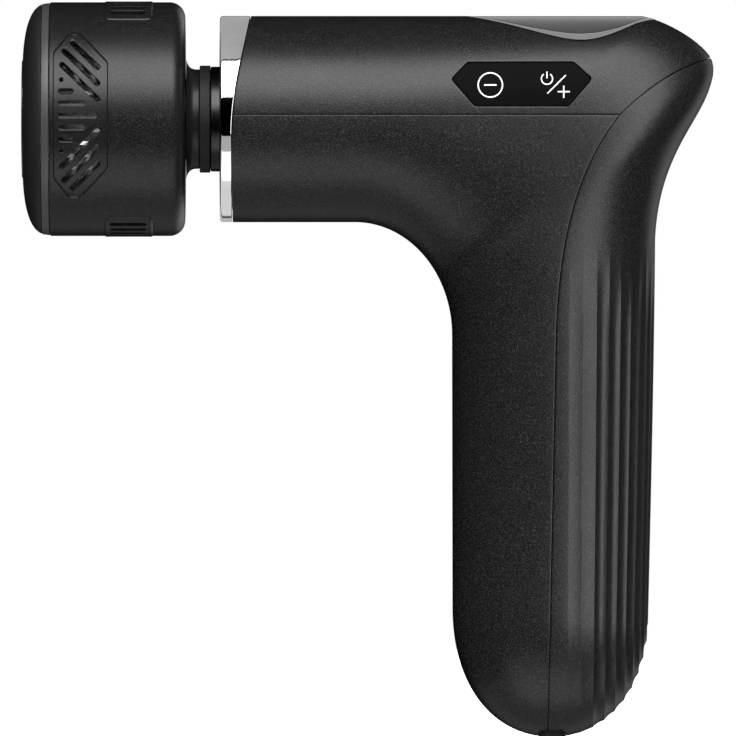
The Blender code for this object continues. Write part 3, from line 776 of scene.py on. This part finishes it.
def make_collar():
    """The chrome ring, whose rear edge leans forwards to its lower side."""
    steps = 192
    angles = np.arange(steps) * 2 * math.pi / steps
    unit = np.column_stack([np.cos(angles), np.sin(angles)])
    rear = np.interp(BARREL_R * unit[:, 1], COLLAR[:, 1], COLLAR[:, 0]) - GAP
    rows = []

    def ring(radius, x):
        rows.append(np.column_stack([np.full(steps, x) if np.isscalar(x) else x, radius * unit]))

    ring(20.6, rear)
    ring(20.6, -74.4)
    for angle in np.radians(np.linspace(0, 90, 5)):
        ring(20.9 - 0.3 * math.cos(angle), -74.4 - 0.3 * math.sin(angle))
    for angle in np.radians(np.linspace(0, 90, 9)):
        ring(BARREL_R - 0.7 + 0.7 * math.sin(angle), -74.0 - 0.7 * math.cos(angle))
    for share in np.linspace(0, 1, 8)[1:]:
        ring(BARREL_R, -74.0 + share * (rear - 0.2 + 74.0))
    for angle in np.radians(np.linspace(30, 90, 3)):
        ring(BARREL_R - 0.2 + 0.2 * math.cos(angle), rear - 0.2 + 0.2 * math.sin(angle))
    bm, loops = grid(rows)
    for i in range(steps):
        j = (i + 1) % steps
        bm.faces.new([loops[-1][i], loops[0][i], loops[0][j], loops[-1][j]])
    bmesh.ops.recalc_face_normals(bm, faces=bm.faces)
    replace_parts(make_object("collar_skin", bm, "chrome_plate", "housing"), "collar_ring")


def make_nose():
    profile = [(12.7, -74.2), (20.3, -74.2), (20.3, -66), (18.6, -66), (18.6, -71.4), (12.7, -71.4)]
    skin = make_object("nose_disc", turned(soft_profile(profile, 0.35)), "gloss_plastic", "housing")
    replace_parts(skin, "nose_plate")
    profile = [(12.1, -69.6), (15, -70.2), (18.2, -71.1), (18.2, -69.3), (15, -68.9), (12.1, -68.4)]
    seal = make_object("plunger_seal", turned(soft_profile(profile, 0.3)), "soft_rubber", "housing")
    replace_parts(seal, "dust_seal")
    profile = [(8.9, -79.27), (12.05, -79.27), (12.05, -76.85), (8.9, -76.85)]
    lip = make_object("socket_ring", turned(soft_profile(profile, 0.25, 6)), "soft_rubber", "plunger")
    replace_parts(lip, "socket_lip")


def add_block(bm, x0, x1, y0, y1, z0, z1):
    made = bmesh.ops.create_cube(bm, size=1)["verts"]
    low, high = np.array([x0, y0, z0]), np.array([x1, y1, z1])
    for v in made:
        v.co = Vector((low + high) / 2 + np.array(v.co[:]) * (high - low))
    edges = list({e for v in made for e in v.link_edges})
    bmesh.ops.bevel(bm, geom=edges, offset=0.4, segments=2, affect="EDGES", profile=0.5)


def make_plunger():
    """The sleeve that carries the head, with the fork of the connecting rod behind it."""
    corners = [(0, -62), (8.9, -62), (8.9, -76.8), (11.8, -76.8), (11.8, -45), (0, -45)]
    profile = [(0, -62)] + soft_profile(corners, 0.3)[5:-5] + [(0, -45)]
    bm = turned(profile)
    add_block(bm, -47, -28, -6.5, 6.5, 4.3, 8)
    add_block(bm, -47, -28, -6.5, 6.5, -8, -4.3)
    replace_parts(make_object("plunger_sleeve", bm, "sleeve_metal", "plunger"), "plunger")


# The massage head


def vent_panel(points):
    return np.where(np.abs(points[:, 1]) > 10, within(side(points), VENT), -30)


def vent_holes(points):
    flat = side(points)
    holes = [slot_distance(flat, start, end, 0.58) for start, end in SLOTS]
    for z in (VENT_Z - 8.1, VENT_Z + 8.1):
        holes.append(slot_distance(flat, (-110.1, z), (-110.1, z + 0.01), 0.42))
    return np.where(np.abs(points[:, 1]) > 10, np.max(holes, axis=0), -30)


def end_arc(points):
    """Unrolled coordinates on the head's upper or lower side: along X and round from its middle."""
    turn = np.arctan2(points[:, 1], np.abs(points[:, 2]))
    return np.column_stack([points[:, 0], turn * HEAD_R])


def end_panel(points):
    return np.where(np.abs(points[:, 2]) > 12, within(end_arc(points), END_FRAME), -30)


def end_holes(points):
    flat = end_arc(points)
    holes = []
    for number in range(-4, 5):
        across = number * math.radians(6.4) * HEAD_R
        holes.append(slot_distance(flat, (-98.6, across), (-92.0, across), 0.85))
    return np.where(np.abs(points[:, 2]) > 12, np.max(holes, axis=0), -30)


VENT = vent_outline()
SLOTS = vent_slots()
END_FRAME = rounded(-100.6, -89.8, -15.1, 15.1, 1.6)


def make_head_shell():
    steps = 480
    angles = np.arange(steps) * 2 * math.pi / steps
    unit = np.column_stack([np.cos(angles), np.sin(angles)])
    lip, fillet = 0.35, 3.5
    profile = []
    for a in np.linspace(0, 1.57, 5):
        profile.append((HEAD_R - lip + lip * math.sin(a), DRUM_FRONT - lip * math.cos(a)))
    profile += [(HEAD_R, x) for x in np.linspace(DRUM_FRONT, -86.2, 84)[1:]]
    for a in np.linspace(0.05, math.pi / 2, 16):
        profile.append((HEAD_R - fillet + fillet * math.cos(a), HEAD_REAR - fillet + fillet * math.sin(a)))
    profile += [(radius, HEAD_REAR) for radius in (20, 16, 12, 9.6)]
    profile += [(9.4, HEAD_REAR - 0.2)]
    rows = [np.column_stack([np.full(steps, x), radius * unit]) for radius, x in profile]
    bm, _ = grid(rows)
    face = next(iter(bm.faces))
    face.normal_update()
    middle = face.calc_center_median()
    if face.normal.dot(Vector((0, middle.y, middle.z))) < 0:
        bmesh.ops.reverse_faces(bm, faces=list(bm.faces))
    for panel in (vent_panel, end_panel):
        for level in (0, 0.12, 0.25):
            knife(bm, panel, level)
    for holes in (vent_holes, end_holes):
        for level in (0, -0.16):
            knife(bm, holes, level)
    bm.normal_update()
    normals = {v: v.normal.copy() for v in bm.verts}
    keep_where(bm, lambda middles: np.maximum(vent_holes(middles), end_holes(middles)) < 0)
    bm.verts.ensure_lookup_table()
    points = coordinates(bm)
    dip = 0.42 * smooth(vent_panel(points) / 0.25) - 0.18 * smooth(end_panel(points) / 0.25)
    dip += 0.1 * smooth(1 + vent_holes(points) / 0.16) + 0.1 * smooth(1 + end_holes(points) / 0.16)
    for v, amount in zip(list(bm.verts), dip):
        v.co -= normals[v] * float(amount)
    turn_in(bm, normals, 1.7)
    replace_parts(make_object("head_drum", bm, "body_plastic", "head", sharp=25), "head_shell")


def make_head():
    make_head_shell()
    profile = [(23, -114.65), (25.9, -114.65), (26.15, -113.02), (23, -113.02)]
    trim = make_object("trim_band", turned(soft_profile(profile, 0.12), 240), "trim_paint", "head")
    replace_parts(trim, "trim_ring")
    rim = bezier((25.8, -114.75), (24.9, -117.3), (20.5, -118.8), (13.5, HEAD_FRONT + 0.25), 32)
    profile = [(13.5, -117.3), (20.4, -117.3), (22.8, -114.75)] + [tuple(p) for p in rim]
    cap = make_object("front_cap", turned(profile, 240), "cap_plastic", "head")
    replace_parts(cap, "face_cap")
    corners = [(0, -117.4), (13.2, -117.4), (13.2, HEAD_FRONT), (0, HEAD_FRONT)]
    profile = [(0, -117.4)] + soft_profile(corners, 0.3)[5:-5] + [(6.5, HEAD_FRONT), (0, HEAD_FRONT)]
    plate = make_object("cold_plate", turned(profile, 200), "machined_aluminium", "head")
    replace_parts(plate, "contact_plate")

    flare = bezier((13.4, -82.25), (11.9, -82.0), (11.2, -81.2), (11.2, -80.1), 12)
    profile = [(0, -87), (16, -87), (16, -84.8), (9, -84.8), (9, -82.25)] + [tuple(p) for p in flare]
    profile += [(11.2, -79.45), (11.05, -79.3), (8.5, -79.3), (8.5, -72.1), (7.3, -72.1), (7.3, -69.9)]
    profile += [(8.5, -69.9), (8.5, -65), (7.9, -64.4), (0, -64.4)]
    stem = make_object("stem_skin", turned(profile), "stem_plastic", "head")
    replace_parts(stem, "head_stem")
    ring = [(8.1 + 0.8 * math.cos(a), -71 + 0.8 * math.sin(a)) for a in np.arange(16) * math.pi / 8]
    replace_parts(make_object("stem_ring", turned(ring), "soft_rubber", "head"), "stem_oring")


# The charging port


def make_port():
    """The rim of the charging port, with a rounded lip."""
    rows = []
    for inset, z in ((3.1, PORT_RIM + 2.1), (3.1, PORT_RIM + 0.25), (2.85, PORT_RIM), (2.45, PORT_RIM)):
        rows.append((inset, inset + 3.3, z))
    rows += [(2.2, 5.2, PORT_RIM + 0.25), (2.2, 5.2, PORT_RIM + 2.1)]
    loops = []
    for half_x, half_y, z in rows:
        outline = rounded(-half_x, half_x, -half_y, half_y, 0.7 * half_x)
        loops.append(np.column_stack([outline, np.full(len(outline), z)]))
    bm, made = grid(loops)
    count = len(loops[0])
    for i in range(count):
        j = (i + 1) % count
        bm.faces.new([made[-1][i], made[0][i], made[0][j], made[-1][j]])
    bmesh.ops.recalc_face_normals(bm, faces=bm.faces)
    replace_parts(make_object("port_rim", bm, "cap_plastic", "housing"), "port_bezel")


# Surroundings


BODY_SKINS = ["top_cover_skin", "front_shell_skin", "rear_grip_skin", "key_face", "collar_skin", "nose_disc"]


def make_light(name, place, size, radiance, only=None, alone=False):
    """A soft box that faces the object. It may light only some pieces; alone means unshaded by the rest."""
    data = bpy.data.lights.new(name, "AREA")
    data.shape = "RECTANGLE"
    data.size, data.size_y = size
    data.energy = radiance * math.pi * size[0] * size[1]
    lamp = bpy.data.objects.new(name, data)
    target = Vector((-0.04, 0, 0.03))
    lamp.location = target + Vector(place)
    lamp.rotation_euler = (-Vector(place)).to_track_quat("-Z", "Y").to_euler()
    lamp.visible_camera = False
    bpy.context.scene.collection.objects.link(lamp)
    if only:
        group = bpy.data.collections.new(name + "_group")
        for piece in only:
            group.objects.link(bpy.data.objects[piece])
        lamp.light_linking.receiver_collection = group
        if alone:
            lamp.light_linking.blocker_collection = group


def make_surroundings():
    scene = bpy.context.scene
    scene.view_settings.view_transform = "Standard"
    world = bpy.data.worlds.new("studio")
    world.use_nodes = True
    world.node_tree.nodes["Background"].inputs["Color"].default_value = (1, 1, 1, 1)
    world.node_tree.nodes["Background"].inputs["Strength"].default_value = 1.0
    scene.world = world
    world.cycles_visibility.glossy = False

    bm = bmesh.new()
    bmesh.ops.create_circle(bm, cap_ends=True, segments=96, radius=1.6)
    mesh = bpy.data.meshes.new("floor")
    bm.to_mesh(mesh)
    bm.free()
    floor = bpy.data.objects.new("floor", mesh)
    floor.location = (-0.04, 0, (BARREL_Z + HANDLE_BOTTOM) * MM - 0.0003)
    scene.collection.objects.link(floor)
    pale = bpy.data.materials.new("pale_floor")
    pale.use_nodes = True
    shader = pale.node_tree.nodes["Principled BSDF"]
    shader.inputs["Base Color"].default_value = (0.9, 0.9, 0.9, 1)
    shader.inputs["Roughness"].default_value = 0.9
    shader.inputs["Emission Color"].default_value = (1, 1, 1, 1)
    shader.inputs["Emission Strength"].default_value = 1.0
    floor.data.materials.append(pale)
    floor.visible_diffuse = False
    floor.visible_glossy = False

    make_light("upper_box", (0.0, -0.61, 0.66), (1.2, 0.68), 4.0)
    make_light("side_box", (0.49, -0.755, 0.1), (0.5, 0.64), 3.5, BODY_SKINS)
    make_light("lower_box", (0.0, -0.52, -0.7), (1.2, 0.6), 0.85)
    make_light("under_box", (0.0, 0.1, -0.6), (1.4, 1.2), 0.25)
    make_light("rim_box", (0.55, 0.75, -0.1), (0.45, 1.2), 0.45)
    make_light("head_rim_box", (0.4, 0.85, 0.0), (0.4, 1.2), 0.6, ["head_drum"])
    make_light("fin_box", (-0.3, -0.6, -0.3), (0.6, 0.6), 4.0, ["heat_sink"], alone=True)
    bright_pieces = ["collar_skin", "display_window", "display_frame"]
    make_light("gloss_top_box", (0.0, 0.28, 0.55), (1.6, 1.3), 0.42, bright_pieces)
    make_light("gloss_floor_box", (0.0, -0.1, -0.5), (1.6, 1.9), 0.5, ["collar_skin"])
    make_light("plate_box", (-0.7, 0.6, 0.0), (0.9, 1.4), 0.35, ["cold_plate"])
    make_light("gloss_back_box", (0.0, 0.95, -0.2), (1.6, 0.7), 0.5, ["collar_skin"])

    camera = bpy.data.objects.new("camera", bpy.data.cameras.new("camera"))
    camera.data.sensor_width = 36
    camera.data.lens = 1100
    camera.data.clip_end = 20
    camera.location = (-0.0414, -5.06, 0.024)
    camera.rotation_euler = (math.radians(90), 0, 0)
    scene.collection.objects.link(camera)
    scene.camera = camera


make_materials()
dress_frame()
make_shells()
make_collar()
make_nose()
make_plunger()
make_head()
make_port()
make_surroundings()
